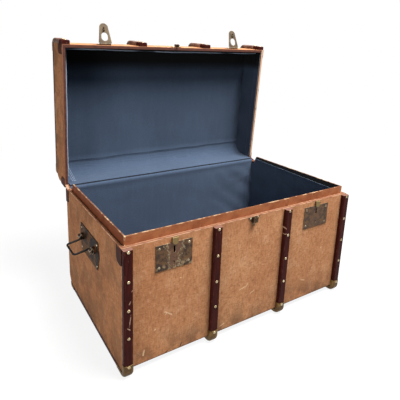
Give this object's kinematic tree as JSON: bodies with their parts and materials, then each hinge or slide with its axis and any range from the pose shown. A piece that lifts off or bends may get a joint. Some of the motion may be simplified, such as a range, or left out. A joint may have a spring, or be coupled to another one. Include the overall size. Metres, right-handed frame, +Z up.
{
  "type": "travel trunk",
  "caption": "Canvas-covered travel trunk with an open hinged lid, bevelled hardwood slats, brass clamps, locks with hasps, iron end handles and a blue cloth lining.",
  "frame": {"origin": "on the floor, under the middle of the body's own width and depth (slats, hinges, handles and the open lid left out)", "axes": "+X along the trunk's length to the right as seen from its front, +Y from the front to the hinged back, +Z up"},
  "size_m": [1.0448, 0.689, 0.9987],
  "materials": {
    "canvas": "painted canvas, worn",
    "board": "plain boards, hidden",
    "binding": "dark fibre binding",
    "lip": "thin orange-brown board",
    "lining": "slate blue cloth",
    "slat": "dark red varnish",
    "foot_brass": "dull, tarnished",
    "lid_clamp_metal": "dull grey, tarnished",
    "guard": "dark brown",
    "lock_brass": "dull, tarnished",
    "lock_steel": "plain",
    "hasp_brass": "dull, rubbed",
    "nail_brass": "rubbed bright",
    "iron": "black, worn",
    "hinge_steel": "dark"
  },
  "bodies": {
    "trunk_body": {"body_back_bottom_board": "board", "body_left_board": "board", "body_right_board": "board", "body_front_board": "board", "body_canvas": "canvas", "body_rim_binding": "binding", "front_lip_board": "lip", "left_lip_board": "lip", "right_lip_board": "lip", "body_lining": "lining", "front_slat_1": "slat", "front_slat_2": "slat", "front_slat_3": "slat", "front_slat_4": "slat", "base_runner_1": "slat", "base_runner_2": "slat", "base_runner_3": "slat", "base_runner_4": "slat", "foot_clamps": "foot_brass", "runner_end_caps": "foot_brass", "body_corner_guards": "guard", "left_lock_plate": "lock_brass", "right_lock_plate": "lock_brass", "left_lock_case": "lock_steel", "right_lock_case": "lock_steel", "catch_socket_plate": "lock_brass", "left_handle_plate": "iron", "right_handle_plate": "iron", "hinge_body_leaves": "hinge_steel", "hinge_pins": "hinge_steel", "body_slat_nails": "nail_brass", "body_plate_nails": "nail_brass"},
    "lid": {"lid_top_back_board": "board", "lid_left_board": "board", "lid_right_board": "board", "lid_front_board": "board", "lid_canvas": "canvas", "lid_rim_binding": "binding", "lid_lining": "lining", "lid_front_slat_1": "slat", "lid_front_slat_2": "slat", "lid_front_slat_3": "slat", "lid_front_slat_4": "slat", "lid_top_slat_1": "slat", "lid_top_slat_2": "slat", "lid_top_slat_3": "slat", "lid_top_slat_4": "slat", "lid_clamps": "lid_clamp_metal", "lid_corner_guards": "guard", "lid_nails": "nail_brass", "catch_pin_plate": "lock_brass", "hasp_leaves": "hasp_brass", "hasp_pins": "hinge_steel", "hinge_lid_leaves": "hinge_steel"},
    "left_hasp": {"left_hasp": "hasp_brass"},
    "right_hasp": {"right_hasp": "hasp_brass"},
    "left_handle": {"left_handle_bail": "iron"},
    "right_handle": {"right_handle_bail": "iron"},
    "left_bolt": {"left_lock_bolt": "lock_steel"},
    "right_bolt": {"right_lock_bolt": "lock_steel"}
  },
  "joints": [
    {"name": "lid_hinge", "type": "hinge", "parent": "trunk_body", "child": "lid", "pos_m": [0, 0.267, 0.392], "axis": [1, 0, 0], "range_deg": [0, 86.3]},
    {"name": "left_hasp_pivot", "type": "hinge", "parent": "lid", "child": "left_hasp", "pos_m": [-0.294, 0.25556, 0.92537], "axis": [1, 0, 0], "range_deg": [-50, 110]},
    {"name": "right_hasp_pivot", "type": "hinge", "parent": "lid", "child": "right_hasp", "pos_m": [0.294, 0.25556, 0.92537], "axis": [1, 0, 0], "range_deg": [-50, 110]},
    {"name": "left_bail_pivot", "type": "hinge", "parent": "trunk_body", "child": "left_handle", "pos_m": [-0.467, 0, 0.299], "axis": [0, -1, 0], "range_deg": [-75, 75]},
    {"name": "right_bail_pivot", "type": "hinge", "parent": "trunk_body", "child": "right_handle", "pos_m": [0.467, 0, 0.299], "axis": [0, 1, 0], "range_deg": [-75, 75]},
    {"name": "left_bolt_slide", "type": "slide", "parent": "trunk_body", "child": "left_bolt", "axis": [1, 0, 0], "range_m": [0, 0.012]},
    {"name": "right_bolt_slide", "type": "slide", "parent": "trunk_body", "child": "right_bolt", "axis": [1, 0, 0], "range_m": [0, 0.012]}
  ]
}
